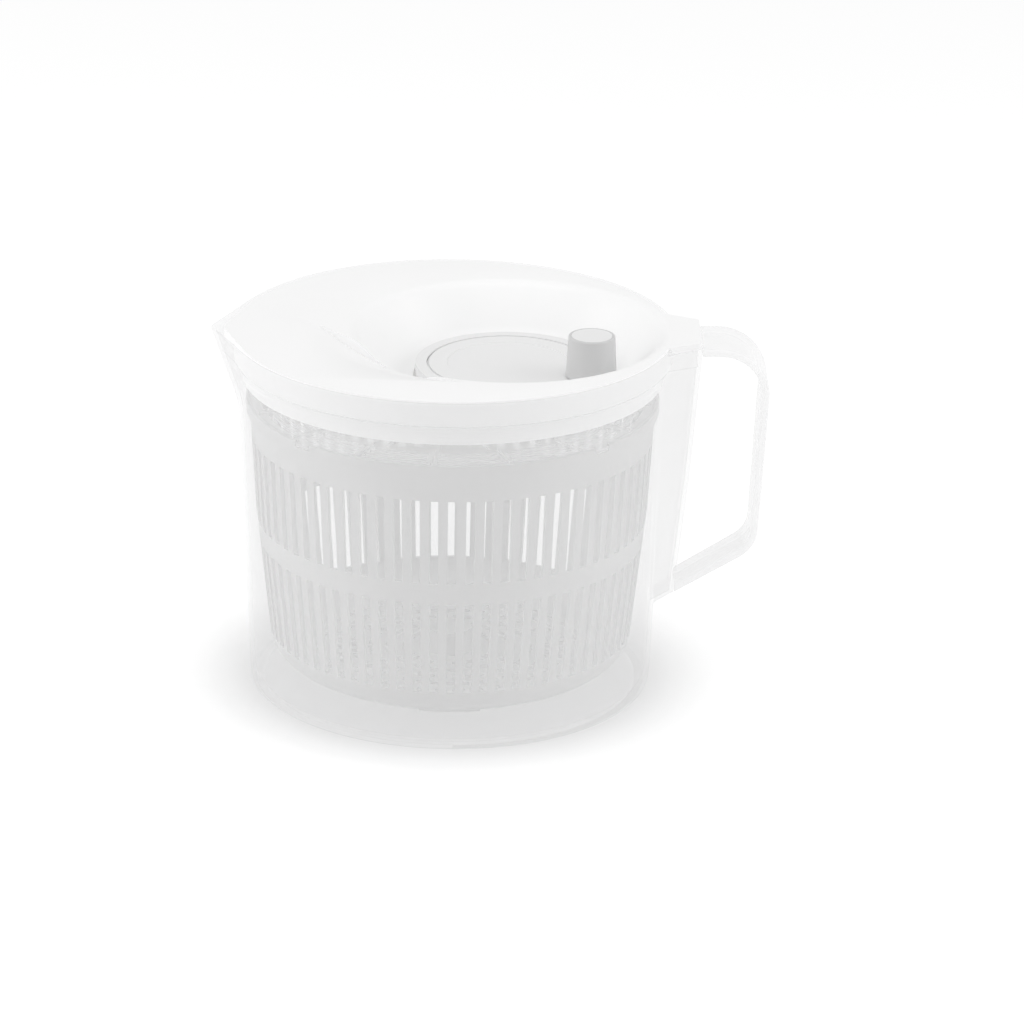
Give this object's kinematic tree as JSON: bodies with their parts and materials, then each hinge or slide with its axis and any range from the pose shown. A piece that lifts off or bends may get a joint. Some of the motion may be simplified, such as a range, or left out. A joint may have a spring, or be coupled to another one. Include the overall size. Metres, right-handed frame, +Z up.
{
  "type": "salad spinner",
  "caption": "Clear jug salad spinner with pouring spout and side handle, slotted white basket and a white lid with an off-centre geared crank and knob.",
  "frame": {"origin": "centre of the jug's base, on the face it stands on", "axes": "+X towards the handle, -X towards the spout, +Z up through the lid"},
  "size_m": [0.2727, 0.2188, 0.185],
  "materials": {
    "jug_plastic": "clear, slightly hazy, moulded",
    "basket_plastic": "white, slightly translucent, moulded",
    "lid_plastic": "white satin, moulded",
    "bearing_plastic": "natural white, smooth",
    "crank_plastic": "light grey satin",
    "knob_plastic": "mid grey satin",
    "knob_cap_plastic": "light grey satin",
    "steel": "stainless"
  },
  "bodies": {
    "jug": {"jug": "jug_plastic", "handle": "jug_plastic", "pivot_pin": "steel"},
    "lid": {"lid_top": "lid_plastic", "lid_base": "lid_plastic", "lid_screws": "steel", "shaft_bush": "bearing_plastic", "crank_screw": "steel", "crank_washer": "steel"},
    "crank": {"crank_plate": "crank_plastic", "crank_insert": "crank_plastic", "ring_gear": "bearing_plastic", "knob_pin": "steel", "knob_washer": "steel", "knob_screw": "steel"},
    "knob": {"knob": "knob_plastic", "knob_cap": "knob_cap_plastic"},
    "drive": {"pinion": "bearing_plastic", "pinion_screw": "steel", "drive_shaft": "bearing_plastic"},
    "pivot": {"pivot_cup": "bearing_plastic"},
    "basket": {"basket": "basket_plastic"},
    "cover": {"basket_cover": "basket_plastic"}
  },
  "joints": [
    {"name": "lid_lift", "type": "slide", "parent": "jug", "child": "lid", "axis": [0, 0, 1], "range_m": [0, 0.32]},
    {"name": "basket_spin", "type": "hinge", "parent": "jug", "child": "pivot", "pos_m": [0, 0, 0.01], "axis": [0, 0, 1], "continuous": true},
    {"name": "basket_lift", "type": "slide", "parent": "pivot", "child": "basket", "axis": [0, 0, 1], "range_m": [0, 0.176]},
    {"name": "cover_lift", "type": "slide", "parent": "basket", "child": "cover", "axis": [0, 0, 1], "range_m": [0, 0.05]},
    {"name": "crank_spin", "type": "hinge", "parent": "lid", "child": "crank", "pos_m": [0.027, 0, 0.16], "axis": [0, 0, 1], "continuous": true},
    {"name": "drive_spin", "type": "hinge", "parent": "lid", "child": "drive", "pos_m": [0, 0, 0.15], "axis": [0, 0, 1], "continuous": true},
    {"name": "knob_spin", "type": "hinge", "parent": "crank", "child": "knob", "pos_m": [0.067, -0.01951, 0.175], "axis": [0, 0, 1], "continuous": true}
  ],
  "couplings": [
    {"joint": "crank_spin", "follows": "basket_spin", "ratio": 0.33333},
    {"joint": "drive_spin", "follows": "basket_spin", "ratio": 1},
    {"joint": "basket_lift", "follows": "lid_lift", "ratio": 0.55},
    {"joint": "cover_lift", "follows": "lid_lift", "ratio": 0.15625}
  ]
}
